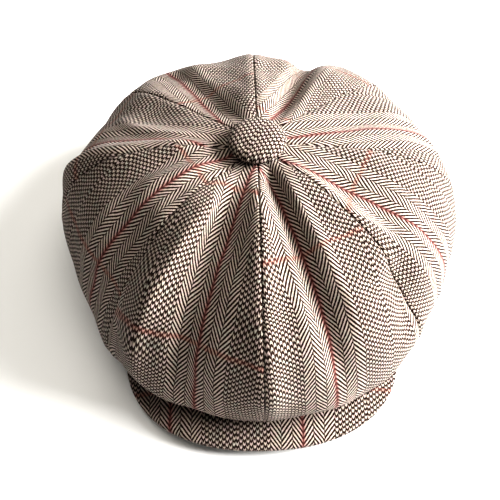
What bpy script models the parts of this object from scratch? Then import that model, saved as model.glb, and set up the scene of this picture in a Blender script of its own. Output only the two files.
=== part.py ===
"""Eight-panel newsboy cap: crown gores, lining, band, sweatband, visor and covered button.

Metres, +Z up, visor towards -Y, origin on the table under the middle of the cap's box.
"""
import math

import bpy
import numpy as np

# Driving dimensions
PANEL_COUNT = 8
CLOTH = 0.0012              # tweed with its fused backing
LINING = 0.0006
LINING_GAP = 0.0011         # room for the seam allowances between crown and lining
GAP = 0.0004                # clearance between neighbouring pieces
MIDDLE_Y = 0.0034           # the button stands this far behind the middle of the box

PUFF_RADIUS = 0.1440        # mean radius of the crown's widest line
PUFF_WAVES = (-0.0040, 0.0070, 0.0010)   # its cos t, cos 2t and cos 3t parts, t from the front
PUFF_REACH = (0.0, 0.29, 0.54, 0.76, 0.92, 1.0, 1.015, 0.94)   # profile knots, in widest radii
PUFF_LEVELS = (0.112, 0.1115, 0.106, 0.094, 0.075, 0.052, 0.031, 0.021)   # and their heights
TUCK_FAR = 0.018            # the crown turns in under itself this far outside the band seam
TUCK_NEAR = 0.007
TUCK_DROP = 0.006           # and this far below it
FRONT_CLEARANCE = 0.005     # the underside is this much higher over the visor
HOLE_PLACE = 0.075          # where down the profile the gores start, round the button's shank
VALLEY = 0.004              # how far each panel sinks along its middle

HEAD_X = 0.086              # half width of the band's outside
HEAD_Y = 0.097              # half length of the band's outside
HEAD_SHIFT = -0.008         # the head opening sits a little ahead of the crown's centre
BAND_HEIGHT = 0.028
FRONT_LIFT = 0.012          # the visor props the front of the band up by this much
STIFFENER = 0.0008
SWEATBAND = 0.0010
ELASTIC_HALF_ANGLE = 36     # degrees each side of the back

VISOR_X = 0.091             # half width of the visor's outline
VISOR_Y = 0.0765
VISOR_SQUARENESS = 0.88    # below 1 the front edge is fuller at its corners
VISOR_CENTRE_Y = -0.085
VISOR_END_ANGLE = 63        # degrees each side of the front where the visor ends at the band
VISOR_EDGE_ANGLE = 116
VISOR_SEAM_GAP = 0.0013
BOARD = 0.0016
VISOR_LOW = 0.0028          # height of the visor's middle layer at its ends
VISOR_ARCH = 0.0065         # how much higher its front edge is in the middle
VISOR_BOW = 0.003
VISOR_DEPTHS = (0.0, 0.2, 0.4, 0.6, 0.8, 0.93, 0.965, 1.0)     # rows from the seam to the edge
BOARD_DEPTHS = (0.02, 0.17, 0.32, 0.47, 0.62, 0.77, 0.92)
VISOR_TIPS = 0.97           # the pointed ends are blunt from here on

BUTTON_RADIUS = 0.0185
BUTTON_RISE = 0.0075
BUTTON_STAND = 0.0012       # the button's rim over the crown cloth
SHELL_METAL = 0.0008
PLATE_RADIUS = 0.0105
SHANK_RADIUS = 0.0022
SHANK_DROP = 0.0072         # the shank's end below the crown's top
WASHER_RADIUS = 0.0085
WASHER_DROP = 0.0046
WASHER_METAL = 0.0010

PANEL_ACROSS = 6
PANEL_DOWN = 15
BAND_STEPS = 72
VISOR_ACROSS = 28

TWEED = ((0.33, 0.26, 0.22, 1.0), 0.9)
SATIN = ((0.09, 0.07, 0.07, 1.0), 0.45)
TWILL = ((0.06, 0.05, 0.05, 1.0), 0.8)
BUCKRAM = ((0.75, 0.73, 0.68, 1.0), 0.85)
RUBBER_WEB = ((0.82, 0.80, 0.76, 1.0), 0.7)
BOARD_PLASTIC = ((0.80, 0.80, 0.78, 1.0), 0.5)
STEEL = ((0.62, 0.62, 0.63, 1.0), 0.35)


def clear_scene():
    for old in list(bpy.data.objects):
        bpy.data.objects.remove(old, do_unlink=True)


def make_material(name, finish, metallic=0.0):
    colour, roughness = finish
    material = bpy.data.materials.new(name)
    material.use_nodes = True
    shader = material.node_tree.nodes["Principled BSDF"]
    shader.inputs["Base Color"].default_value = colour
    shader.inputs["Roughness"].default_value = roughness
    shader.inputs["Metallic"].default_value = metallic
    return material


def add_solid(name, outer, inner, finish, closed_round=False, metallic=0.0):
    """Join an outer and an inner grid of points, both rows x columns x 3, into one closed skin."""
    rows, columns = outer.shape[:2]
    count = rows * columns
    points = np.concatenate([outer.reshape(-1, 3), inner.reshape(-1, 3)])
    faces = []
    last = columns if closed_round else columns - 1
    for row in range(rows - 1):
        for column in range(last):
            after = (column + 1) % columns
            a = row * columns + column
            b = row * columns + after
            c = (row + 1) * columns + after
            d = (row + 1) * columns + column
            faces.append((a, d, c, b))
            faces.append((count + a, count + b, count + c, count + d))
    for column in range(last):
        after = (column + 1) % columns
        low = (rows - 1) * columns
        faces.append((column, after, count + after, count + column))
        faces.append((count + low + column, count + low + after, low + after, low + column))
    if not closed_round:
        for row in range(rows - 1):
            a = row * columns
            d = a + columns
            faces.append((count + a, count + d, d, a))
            b = a + columns - 1
            c = b + columns
            faces.append((b, c, count + c, count + b))
    mesh = bpy.data.meshes.new(name)
    mesh.from_pydata([tuple(point) for point in points], [], faces)
    mesh.update()
    mesh.shade_smooth()
    mesh.set_sharp_from_angle(angle=math.radians(40))
    solid = bpy.data.objects.new(name, mesh)
    solid.data.materials.append(make_material(name, finish, metallic))
    bpy.context.scene.collection.objects.link(solid)
    return solid


def front_weight(angle):
    """1 at the front of the cap, falling smoothly to 0 at 60 degrees each side and behind."""
    rise = np.clip((np.cos(angle) - 0.5) / 0.5, 0.0, 1.0)
    return rise * rise * (3.0 - 2.0 * rise)


def band_point(angle, inset, height):
    """A point on the band's ellipse, moved inwards by inset, at the given height."""
    x = (HEAD_X - inset) * np.sin(angle)
    y = -(HEAD_Y - inset) * np.cos(angle) + HEAD_SHIFT + MIDDLE_Y
    return np.stack([x, y, height + 0.0 * angle], axis=-1)


def band_bottom(angle):
    return FRONT_LIFT * front_weight(angle)


def band_top(angle):
    return BAND_HEIGHT + 0.5 * FRONT_LIFT * front_weight(angle)


def puff_radius(angle):
    """The crown's widest outline: narrower ahead of the ears, squarer behind them."""
    radius = PUFF_RADIUS + 0.0 * angle
    for order, size in enumerate(PUFF_WAVES, start=1):
        radius = radius + size * np.cos(order * angle)
    return radius


def spline(knots, place):
    """A uniform cubic B-spline that starts and ends on its first and last knots."""
    padded = [knots[0], knots[0]] + list(knots) + [knots[-1], knots[-1]]
    spans = len(padded) - 3
    position = np.clip(place, 0.0, 1.0) * spans
    result = 0.0
    for index, knot in enumerate(padded):
        distance = np.abs(position - (index - 1))
        near = 2.0 / 3.0 - distance ** 2 + 0.5 * distance ** 3
        far = np.clip(2.0 - distance, 0.0, None) ** 3 / 6.0
        result = result + np.where(distance < 1.0, near, far) * knot
    return result


def crown_profile(angle, place, sink):
    """The crown from its centre (0) down round its puffed edge to the band seam (1)."""
    radius = puff_radius(angle)
    front = front_weight(angle)
    seam = band_point(angle, 0.5 * CLOTH, 0.0)
    seam_y = seam[..., 1] - MIDDLE_Y
    seam_radius = np.hypot(seam[..., 0], seam_y)
    seam_height = band_top(angle) + GAP
    radii = [radius * part for part in PUFF_REACH]
    radii += [seam_radius + TUCK_FAR, seam_radius + TUCK_NEAR, seam_radius]
    levels = [level + 0.0 * angle for level in PUFF_LEVELS]
    levels[-1] = levels[-1] + FRONT_CLEARANCE * front
    levels += [seam_height - TUCK_DROP + 0.4 * FRONT_CLEARANCE * front, seam_height, seam_height]
    envelope = np.sin(math.pi * np.clip(place * 1.12, 0.0, 1.0)) ** 2
    out = spline(radii, place) - sink * envelope
    up = spline(levels, place) - sink * envelope * 0.8
    return np.stack([out * np.sin(angle), -out * np.cos(angle) + MIDDLE_Y, up], axis=-1)


def crown_normal(angle, place):
    """The outward normal of the crown without its valleys."""
    step = 1e-4
    along = crown_profile(angle, place + step, 0.0) - crown_profile(angle, place - step, 0.0)
    around = crown_profile(angle + step, place, 0.0) - crown_profile(angle - step, place, 0.0)
    normal = np.cross(along, around)
    return normal / np.linalg.norm(normal, axis=-1, keepdims=True)


def crown_gore(index, depth):
    """One gore's grid of points, moved inwards from the crown's outside by depth."""
    place = np.linspace(HOLE_PLACE, 1.0, PANEL_DOWN)[:, None]
    share = np.linspace(0.0, 1.0, PANEL_ACROSS + 1)[None, :]
    width = 2.0 * math.pi / PANEL_COUNT
    middle = (index + 0.5) * width
    centre_line = crown_profile(np.full_like(place, middle), place, 0.0)
    local_radius = np.hypot(centre_line[..., 0], centre_line[..., 1] - MIDDLE_Y)
    margin = 0.5 * GAP / local_radius
    angle = index * width + margin + share * (width - 2.0 * margin)
    place = place + 0.0 * angle
    sink = VALLEY * np.sin(math.pi * share) ** 2
    normal = crown_normal(angle, np.clip(place, 0.0, 0.9995))
    return crown_profile(angle, place, sink) - normal * depth


def build_crown():
    for index in range(PANEL_COUNT):
        outer = crown_gore(index, 0.0)
        inner = crown_gore(index, CLOTH)
        add_solid(f"crown_panel_{index + 1}", outer, inner, TWEED)
        outer = crown_gore(index, CLOTH + LINING_GAP)
        inner = crown_gore(index, CLOTH + LINING_GAP + LINING)
        add_solid(f"lining_panel_{index + 1}", outer, inner, SATIN)


def band_strip(name, inset, thickness, trim, start, end, finish):
    """A strip that follows the band between two angles; a full turn closes on itself."""
    full = end - start > 359.0
    steps = BAND_STEPS if full else max(8, round(BAND_STEPS * (end - start) / 360.0))
    angle = np.radians(np.linspace(start, end, steps + 1))
    if full:
        angle = angle[:-1]
    low = band_bottom(angle) + trim
    high = band_top(angle) - trim
    outer = np.stack([band_point(angle, inset, high), band_point(angle, inset, low)])
    inner = np.stack([
        band_point(angle, inset + thickness, high),
        band_point(angle, inset + thickness, low),
    ])
    return add_solid(name, outer, inner, finish, closed_round=full)


def build_band():
    inset = 0.0
    band_strip("headband", inset, CLOTH, 0.0, 0.0, 360.0, TWEED)
    inset += CLOTH + GAP
    back = 180.0 - ELASTIC_HALF_ANGLE
    band_strip("band_stiffener", inset, STIFFENER, 0.002, -back + 0.5, back - 0.5, BUCKRAM)
    band_strip("back_elastic", inset, STIFFENER, 0.003, back, 360.0 - back, RUBBER_WEB)
    inset += STIFFENER + GAP
    band_strip("sweatband", inset, SWEATBAND, 0.001, 0.0, 360.0, TWILL)


def squarer(value):
    """sign(v) |v| ^ squareness."""
    return np.sign(value) * np.abs(value) ** VISOR_SQUARENESS


def visor_grid(depths, offset):
    """Points of the visor at these parts of its depth, at a height off its middle layer."""
    depth = np.array(depths)[:, None]
    share = np.linspace(-1.0, 1.0, VISOR_ACROSS + 1)[None, :] * VISOR_TIPS
    rear_angle = np.radians(VISOR_END_ANGLE) * share
    edge_angle = np.radians(VISOR_EDGE_ANGLE) * share
    rear = band_point(rear_angle, -VISOR_SEAM_GAP, 0.0)
    arch = np.cos(0.5 * math.pi * share)
    edge_x = VISOR_X * squarer(np.sin(edge_angle))
    edge_y = VISOR_CENTRE_Y - VISOR_Y * squarer(np.cos(edge_angle)) + MIDDLE_Y
    x = rear[..., 0] * (1.0 - depth) + edge_x * depth
    y = rear[..., 1] * (1.0 - depth) + edge_y * depth
    rear_height = band_bottom(rear_angle)
    edge_height = VISOR_ARCH * arch ** 2
    bow = VISOR_BOW * np.sin(math.pi * depth) * arch
    z = VISOR_LOW + rear_height * (1.0 - depth) + edge_height * depth + bow
    return np.stack([x, y, z + np.reshape(offset, (-1, 1))], axis=-1)


def build_visor():
    half = 0.5 * BOARD
    cover_in = half + GAP
    cover_out = cover_in + CLOTH
    meeting = np.array([cover_in] * 6 + [0.5 * GAP] * 2)    # the covers close over the board's edge
    upper = visor_grid(VISOR_DEPTHS, cover_out), visor_grid(VISOR_DEPTHS, meeting)
    middle = visor_grid(BOARD_DEPTHS, half), visor_grid(BOARD_DEPTHS, -half)
    lower = visor_grid(VISOR_DEPTHS, -meeting), visor_grid(VISOR_DEPTHS, -cover_out)
    add_solid("visor_top_cover", *upper, TWEED)
    add_solid("visor_board", *middle, BOARD_PLASTIC)
    add_solid("visor_under_cover", *lower, TWEED)


def turned(name, profile, finish, steps=32, metallic=0.0, ring=False):
    """A round piece on the crown's centre line from (radius, height) points, top to bottom."""
    angle = np.linspace(0.0, 2.0 * math.pi, steps, endpoint=False)
    points = []
    for radius, height in profile:
        if radius > 0.0:
            for turn in angle:
                points.append((radius * math.cos(turn), radius * math.sin(turn) + MIDDLE_Y, height))
        else:
            points.append((0.0, MIDDLE_Y, height))
    faces = []
    starts = []
    index = 0
    for radius, _height in profile:
        starts.append(index)
        index += steps if radius > 0.0 else 1
    pairs = list(zip(range(len(profile)), range(1, len(profile))))
    if ring:
        pairs.append((len(profile) - 1, 0))
    for first, second in pairs:
        for step in range(steps):
            after = (step + 1) % steps
            a, b = starts[first], starts[second]
            if profile[first][0] == 0.0:
                faces.append((a, b + step, b + after))
            elif profile[second][0] == 0.0:
                faces.append((a + step, b, a + after))
            else:
                faces.append((a + step, b + step, b + after, a + after))
    mesh = bpy.data.meshes.new(name)
    mesh.from_pydata(points, [], faces)
    mesh.update()
    mesh.shade_smooth()
    mesh.set_sharp_from_angle(angle=math.radians(40))
    piece = bpy.data.objects.new(name, mesh)
    piece.data.materials.append(make_material(name, finish, metallic))
    bpy.context.scene.collection.objects.link(piece)
    return piece


def dome(radius, base, rise, steps):
    """Points of a dome from its centre to its rim: a quarter of a full-bodied ellipse."""
    points = []
    for step in range(steps):
        turn = 0.5 * math.pi * step / (steps - 1)
        points.append((radius * math.sin(turn) ** 0.85, base + rise * math.cos(turn) ** 0.9))
    points[0] = (0.0, base + rise)
    return points


def build_button():
    top = PUFF_LEVELS[0]
    base = top + BUTTON_STAND
    lip = BUTTON_RADIUS - 0.0045    # the cloth is turned in under the rim as far as this
    cover = dome(BUTTON_RADIUS, base, BUTTON_RISE, 8)
    inside = dome(BUTTON_RADIUS - CLOTH, base + 0.0002, BUTTON_RISE - CLOTH, 8)
    turned_under = [(lip, base - 0.0004), (lip, base + 0.0002)]
    turned("button_cover", cover + turned_under + inside[::-1], TWEED)
    slim = CLOTH + GAP
    rim = base + 0.0006
    shell_out = dome(BUTTON_RADIUS - slim, rim, BUTTON_RISE - slim - 0.0004, 7)
    shell_in = dome(BUTTON_RADIUS - slim - SHELL_METAL, rim, BUTTON_RISE - slim - 0.0012, 7)
    turned("button_shell", shell_out + shell_in[::-1], STEEL, metallic=1.0)
    plate = [
        (0.0, base + 0.0020),
        (PLATE_RADIUS, base + 0.0020),
        (PLATE_RADIUS, base + 0.0008),
        (SHANK_RADIUS, base + 0.0004),
        (SHANK_RADIUS, top - SHANK_DROP),
        (0.0, top - SHANK_DROP),
    ]
    turned("button_shank", plate, STEEL, steps=24, metallic=1.0)
    washer = [
        (SHANK_RADIUS + GAP, top - WASHER_DROP),
        (WASHER_RADIUS, top - WASHER_DROP),
        (WASHER_RADIUS, top - WASHER_DROP - WASHER_METAL),
        (SHANK_RADIUS + GAP, top - WASHER_DROP - WASHER_METAL),
    ]
    turned("button_washer", washer, STEEL, steps=24, metallic=1.0, ring=True)


clear_scene()
build_crown()
build_band()
build_visor()
build_button()
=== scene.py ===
import math

import bpy
import numpy as np
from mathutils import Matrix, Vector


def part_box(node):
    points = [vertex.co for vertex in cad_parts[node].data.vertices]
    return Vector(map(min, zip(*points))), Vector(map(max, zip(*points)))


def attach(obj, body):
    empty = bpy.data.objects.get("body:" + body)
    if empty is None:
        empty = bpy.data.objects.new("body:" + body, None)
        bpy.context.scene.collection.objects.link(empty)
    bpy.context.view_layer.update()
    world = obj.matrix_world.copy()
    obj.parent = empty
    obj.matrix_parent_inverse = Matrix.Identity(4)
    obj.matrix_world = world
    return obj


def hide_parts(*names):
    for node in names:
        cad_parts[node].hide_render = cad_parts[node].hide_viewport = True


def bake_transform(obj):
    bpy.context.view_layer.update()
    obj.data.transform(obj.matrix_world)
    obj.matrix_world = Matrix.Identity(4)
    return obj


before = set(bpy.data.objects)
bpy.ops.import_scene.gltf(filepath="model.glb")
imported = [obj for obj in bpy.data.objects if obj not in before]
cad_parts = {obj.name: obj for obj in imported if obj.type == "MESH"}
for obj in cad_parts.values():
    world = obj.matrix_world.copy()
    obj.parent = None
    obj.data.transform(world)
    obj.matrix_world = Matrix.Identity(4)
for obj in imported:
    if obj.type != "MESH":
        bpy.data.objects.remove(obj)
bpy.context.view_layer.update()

mm = 0.001
fullTurn = 2.0 * math.pi

bandLow, bandHigh = (np.array(corner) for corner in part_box("headband"))
buttonLow, buttonHigh = (np.array(corner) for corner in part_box("button_cover"))
crownY = (buttonLow[1] + buttonHigh[1]) / 2.0   # the crown's centre line, where the button sits
crownTop = buttonLow[2] - 0.8 * mm              # the cloth just under the button
bandX = (bandHigh[0] - bandLow[0]) / 2.0        # half axes of the band's oval
bandY = (bandHigh[1] - bandLow[1]) / 2.0
bandMiddleY = (bandHigh[1] + bandLow[1]) / 2.0


# 0 to 1 with flat ends: 3v^2 - 2v^3.
def smooth(value):
    value = np.clip(value, 0.0, 1.0)
    return value * value * (3.0 - 2.0 * value)


def unit(vectors):
    return vectors / np.maximum(np.linalg.norm(vectors, axis=-1, keepdims=True), 1e-12)


# Uniform cubic B-spline through place 0 to 1, ends held: sum of knot * basis(distance).
def spline(knots, place):
    padded = [knots[0], knots[0]] + list(knots) + [knots[-1], knots[-1]]
    position = np.clip(place, 0.0, 1.0) * (len(padded) - 3)
    result = 0.0
    for index, knot in enumerate(padded):
        distance = np.abs(position - (index - 1))
        near = 2.0 / 3.0 - distance ** 2 + 0.5 * distance ** 3
        far = np.clip(2.0 - distance, 0.0, None) ** 3 / 6.0
        result = result + np.where(distance < 1.0, near, far) * knot
    return result


# Unit normals of a grid: (down the rows) x (along the columns).
def gridNormals(points):
    return unit(np.cross(np.gradient(points, axis=0), np.gradient(points, axis=1)))


# Quads between neighbouring rows and columns, numbered from first.
def gridFaces(rows, columns, closed=False, first=0, flip=False):
    row = np.arange(rows - 1)[:, None]
    column = np.arange(columns if closed else columns - 1)[None, :]
    after = (column + 1) % columns
    a = row * columns + column
    b = row * columns + after
    c = (row + 1) * columns + after
    d = (row + 1) * columns + column
    quads = np.stack([a, d, c, b] if not flip else [a, b, c, d], axis=-1)
    return quads.reshape(-1, 4) + first


# Quads that join the rims of an outer grid to those of an inner grid count further on.
def borderFaces(rows, columns, count):
    column = np.arange(columns - 1)
    after = column + 1
    last = (rows - 1) * columns
    left = np.arange(rows - 1) * columns
    right = left + columns - 1
    return np.concatenate([
        np.stack([column, after, count + after, count + column], axis=-1),
        np.stack([count + last + column, count + last + after, last + after, last + column], axis=-1),
        np.stack([count + left, count + left + columns, left + columns, left], axis=-1),
        np.stack([right, right + columns, count + right + columns, count + right], axis=-1),
    ])


# Puts arrays of points and quads into a smooth mesh, with a cloth map in metres if given.
def makeMesh(name, points, quads, material, clothMap=None):
    mesh = bpy.data.meshes.new(name)
    mesh.vertices.add(len(points))
    mesh.vertices.foreach_set("co", np.ascontiguousarray(points, dtype=np.float32).ravel())
    mesh.loops.add(quads.size)
    mesh.loops.foreach_set("vertex_index", quads.astype(np.int32).ravel())
    mesh.polygons.add(len(quads))
    mesh.polygons.foreach_set("loop_start", np.arange(0, quads.size, 4, dtype=np.int32))
    mesh.polygons.foreach_set("use_smooth", np.ones(len(quads), dtype=bool))
    mesh.update(calc_edges=True)
    if clothMap is not None:
        layer = mesh.uv_layers.new(name="clothMap")
        layer.data.foreach_set("uv", clothMap[quads.ravel()].astype(np.float32).ravel())
    mesh.validate()
    piece = bpy.data.objects.new(name, mesh)
    mesh.materials.append(material)
    bpy.context.scene.collection.objects.link(piece)
    return piece


# One closed skin from an outer and an inner grid; both sides share the cloth map.
def makeSheet(name, outer, inner, material, clothMap):
    rows, columns = outer.shape[:2]
    count = rows * columns
    points = np.concatenate([outer.reshape(-1, 3), inner.reshape(-1, 3)])
    quads = np.concatenate([
        gridFaces(rows, columns),
        gridFaces(rows, columns, first=count, flip=True),
        borderFaces(rows, columns, count),
    ])
    flat = clothMap.reshape(-1, 2)
    return makeMesh(name, points, quads, material, np.concatenate([flat, flat]))


# Places math and mix nodes in a tree; each call gives back the new node's output.
class NodeDesk:
    def __init__(self, tree):
        self.tree = tree

    def node(self, kind, **settings):
        made = self.tree.nodes.new(kind)
        for key, value in settings.items():
            setattr(made, key, value)
        return made

    def put(self, socket, value):
        if isinstance(value, bpy.types.NodeSocket):
            self.tree.links.new(value, socket)
        else:
            socket.default_value = value

    def math(self, operation, *values, clamp=False):
        made = self.node("ShaderNodeMath", operation=operation, use_clamp=clamp)
        for socket, value in zip(made.inputs, values):
            self.put(socket, value)
        return made.outputs[0]

    def mix(self, amount, first, second):
        made = self.node("ShaderNodeMix", data_type="RGBA")
        self.put(made.inputs["Factor"], amount)
        self.put(made.inputs["A"], first)
        self.put(made.inputs["B"], second)
        return made.outputs["Result"]

    # Smooth rise from 0 at low to 1 at high.
    def step(self, value, low, high):
        made = self.node("ShaderNodeMapRange", interpolation_type="SMOOTHSTEP")
        self.put(made.inputs["Value"], value)
        made.inputs["From Min"].default_value = low
        made.inputs["From Max"].default_value = high
        return made.outputs["Result"]

    def noise(self, vector, scale, detail=2.0, roughness=0.5):
        made = self.node("ShaderNodeTexNoise")
        self.put(made.inputs["Vector"], vector)
        made.inputs["Scale"].default_value = scale
        made.inputs["Detail"].default_value = detail
        made.inputs["Roughness"].default_value = roughness
        return made.outputs["Fac"]

    def combine(self, x, y, z=0.0):
        made = self.node("ShaderNodeCombineXYZ")
        for socket, value in zip(made.inputs, (x, y, z)):
            self.put(socket, value)
        return made.outputs[0]


# A shader node group with named float inputs (name, default) and outputs (name, kind).
def newGroup(name, inputs, outputs):
    tree = bpy.data.node_groups.new(name, "ShaderNodeTree")
    for label, default in inputs:
        socket = tree.interface.new_socket(name=label, in_out="INPUT", socket_type="NodeSocketFloat")
        socket.default_value = default
    for label, kind in outputs:
        tree.interface.new_socket(name=label, in_out="OUTPUT", socket_type=kind)
    desk = NodeDesk(tree)
    source = desk.node("NodeGroupInput").outputs
    target = desk.node("NodeGroupOutput").inputs
    return tree, desk, source, target


tweedLook = dict(
    column=6.8,             # width of one herringbone column, mm
    columnsEachSide=3,      # on each side of the red stripe
    dart=2.12,              # width of one small dart of the birdseye ground, mm
    dartsBetween=20,        # between two herringbone stripes
    pitch=3.45,             # twill lines repeat along the warp, mm
    steep=1.38,             # rise of a twill line for its run
    creamShare=0.45,        # share of a twill line that is cream
    edge=0.03,              # how softly the cream thread ends
    cream=(0.415, 0.352, 0.292, 1.0),
    creamCool=(0.375, 0.350, 0.298, 1.0),
    creamPink=(0.425, 0.335, 0.312, 1.0),
    dark=(0.0075, 0.0035, 0.0025, 1.0),
    darkWarm=(0.024, 0.0105, 0.006, 1.0),
    red=(0.052, 0.0145, 0.0125, 1.0),
    redOnCream=(0.165, 0.066, 0.058, 1.0),
    pinkOnCream=(0.40, 0.215, 0.195, 1.0),
    orange=(0.35, 0.195, 0.155, 1.0),
    redWidth=0.95,          # warp stripe and weft line, mm
    orangeWidth=1.5,
    yarnPitch=0.95,         # twist of the yarn, mm
    drift=(1.3, 2.2),       # slow wander of warp and weft, mm
    jitter=0.9,             # quick unevenness along the warp, mm
)


# Herringbone and birdseye cloth from two lengths in mm: across and along the warp.
# twill phase = along / pitch + steep * fold(across) / pitch, where fold runs up and down with
# each column; the cream thread shows where the phase is in the middle part of its turn.
def tweedGroup():
    look = tweedLook
    half = look["column"] * look["columnsEachSide"]
    repeat = 2.0 * half + look["dart"] * look["dartsBetween"]
    inputs = [("Across", 0.0), ("Along", 0.0), ("Weft line", 20.0), ("Weft repeat", 90.0)]
    outputs = [("Color", "NodeSocketColor"), ("Height", "NodeSocketFloat"), ("Cream", "NodeSocketFloat")]
    tree, desk, source, target = newGroup("tweedWeave", inputs, outputs)
    rawPlace = desk.combine(source["Across"], source["Along"])
    driftX, driftY = look["drift"]
    uneven = look["jitter"]
    warpDrift = desk.math("MULTIPLY_ADD", desk.noise(rawPlace, 0.055, 1.0), driftX, -0.5 * driftX)
    weftDrift = desk.math("MULTIPLY_ADD", desk.noise(rawPlace, 0.075, 1.0), driftY, -0.5 * driftY)
    jitter = desk.math("MULTIPLY_ADD", desk.noise(rawPlace, 0.9, 1.0), uneven, -0.5 * uneven)
    across = desk.math("ADD", source["Across"], warpDrift)
    along = desk.math("ADD", desk.math("ADD", source["Along"], weftDrift), jitter)
    fromStripe = desk.math("WRAP", across, repeat / 2.0, -repeat / 2.0)
    reach = desk.math("ABSOLUTE", fromStripe)

    columnAt = desk.math("DIVIDE", reach, look["column"])
    columnFold = desk.math("PINGPONG", columnAt, 1.0)
    columnOdd = desk.math("FLOORED_MODULO", desk.math("FLOOR", columnAt), 2.0)
    wideRise = desk.math("MULTIPLY", columnFold, look["steep"] * look["column"] / look["pitch"])
    widePhase = desk.math("MULTIPLY_ADD", columnOdd, 0.5, wideRise)

    dartAt = desk.math("DIVIDE", desk.math("SUBTRACT", reach, half), look["dart"])
    dartFold = desk.math("PINGPONG", desk.math("ADD", dartAt, 0.5), 0.5)
    dartFold = desk.math("MULTIPLY", dartFold, 2.0)
    dartOdd = desk.math("FLOORED_MODULO", desk.math("FLOOR", dartAt), 2.0)
    dartRise = desk.math("MULTIPLY", dartFold, look["steep"] * look["dart"] / 2.0 / look["pitch"])
    dartPhase = desk.math("MULTIPLY_ADD", dartOdd, 0.5, dartRise)

    isGround = desk.math("GREATER_THAN", reach, half)
    lifted = desk.math("MULTIPLY", isGround, desk.math("SUBTRACT", dartPhase, widePhase))
    phase = desk.math("ADD", desk.math("DIVIDE", along, look["pitch"]), desk.math("ADD", widePhase, lifted))
    turn = desk.math("FRACT", phase)
    fromMiddle = desk.math("ABSOLUTE", desk.math("SUBTRACT", turn, 0.5))
    edge = look["creamShare"] / 2.0
    threadBand = desk.math("SUBTRACT", 1.0, desk.step(fromMiddle, edge - look["edge"], edge + look["edge"]))
    columnEdge = desk.math("PINGPONG", columnAt, 0.5)
    dartEdge = desk.math("PINGPONG", dartAt, 0.5)
    wideGap = desk.step(columnEdge, 0.0, 0.06)
    dartGap = desk.step(dartEdge, 0.04, 0.22)
    groundGap = desk.math("MULTIPLY", isGround, dartGap)
    stripeGap = desk.math("MULTIPLY", desk.math("SUBTRACT", 1.0, isGround), wideGap)
    gap = desk.math("MAXIMUM", groundGap, stripeGap)
    thread = desk.math("MULTIPLY", threadBand, desk.math("MULTIPLY_ADD", gap, 0.90, 0.10))

    slub = desk.noise(desk.combine(desk.math("MULTIPLY", across, 0.5), along), 1.1, 3.0)
    diagonal = desk.math("ADD", across, along)
    yarn = desk.math("SINE", desk.math("MULTIPLY", diagonal, fullTurn / look["yarnPitch"]))
    fine = desk.math("MULTIPLY_ADD", yarn, 0.10, desk.math("MULTIPLY_ADD", slub, 1.0, 0.50))
    speck = desk.math("MULTIPLY_ADD", desk.noise(rawPlace, 0.70, 2.0), 2.1, -0.08, clamp=True)
    rough = desk.math("MULTIPLY_ADD", isGround, 0.55, 0.45)
    speck = desk.math("MULTIPLY_ADD", rough, desk.math("SUBTRACT", speck, 1.0), 1.0)
    fine = desk.math("MULTIPLY", fine, speck)
    cream = desk.math("MULTIPLY", thread, desk.math("MINIMUM", fine, 1.1), clamp=True)

    blotch = desk.noise(rawPlace, 0.16, 3.0)
    tint = desk.noise(desk.combine(source["Along"], source["Across"], 7.0), 0.5, 2.0)
    creamColour = desk.mix(desk.step(tint, 0.42, 0.60), look["cream"], look["creamPink"])
    creamColour = desk.mix(desk.step(blotch, 0.50, 0.66), creamColour, look["creamCool"])
    darkColour = desk.mix(desk.step(slub, 0.40, 0.65), look["dark"], look["darkWarm"])

    red, orange = look["redWidth"], look["orangeWidth"]
    stripe = desk.math("SUBTRACT", 1.0, desk.step(reach, 0.25 * red, 1.5 * red))
    fringe = desk.math("SUBTRACT", 1.0, desk.step(reach, 0.9 * red, 3.0 * red))
    creamColour = desk.mix(desk.math("MULTIPLY", fringe, 0.75), creamColour, look["pinkOnCream"])
    creamColour = desk.mix(desk.math("MULTIPLY", stripe, 0.85), creamColour, look["redOnCream"])
    darkColour = desk.mix(desk.math("MULTIPLY", stripe, 0.95), darkColour, look["red"])
    weftAt = desk.math("SUBTRACT", along, source["Weft line"])
    weftHalf = desk.math("MULTIPLY", source["Weft repeat"], 0.5)
    weftAt = desk.math("WRAP", weftAt, weftHalf, desk.math("MULTIPLY", weftHalf, -1.0))
    weftEdge = desk.step(desk.math("ABSOLUTE", weftAt), 0.55 * orange, 1.5 * orange)
    weft = desk.math("SUBTRACT", 1.0, weftEdge)
    patchy = desk.math("MULTIPLY_ADD", desk.step(tint, 0.36, 0.60), 0.45, 0.45)
    creamColour = desk.mix(desk.math("MULTIPLY", weft, patchy), creamColour, look["orange"])
    darkColour = desk.mix(desk.math("MULTIPLY", weft, 0.6), darkColour, look["red"])
    colour = desk.mix(cream, darkColour, creamColour)
    colour = desk.mix(desk.math("MULTIPLY", desk.math("MULTIPLY", weft, stripe), 0.5), colour, look["red"])

    height = desk.math("MULTIPLY_ADD", cream, 0.7, desk.math("MULTIPLY", slub, 0.35))
    desk.put(target["Color"], colour)
    desk.put(target["Height"], height)
    desk.put(target["Cream"], cream)
    return tree


# A material with its shader; fixed numbers sit on the shader's own sockets.
def newMaterial(name, roughness, metallic=0.0):
    material = bpy.data.materials.new(name)
    material.use_nodes = True
    desk = NodeDesk(material.node_tree)
    shader = material.node_tree.nodes["Principled BSDF"]
    shader.inputs["Roughness"].default_value = roughness
    shader.inputs["Metallic"].default_value = metallic
    return material, desk, shader


def bumpInto(desk, shader, height, distance, strength=1.0):
    bump = desk.node("ShaderNodeBump")
    bump.inputs["Distance"].default_value = distance
    bump.inputs["Strength"].default_value = strength
    desk.put(bump.inputs["Height"], height)
    desk.put(shader.inputs["Normal"], bump.outputs["Normal"])


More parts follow.
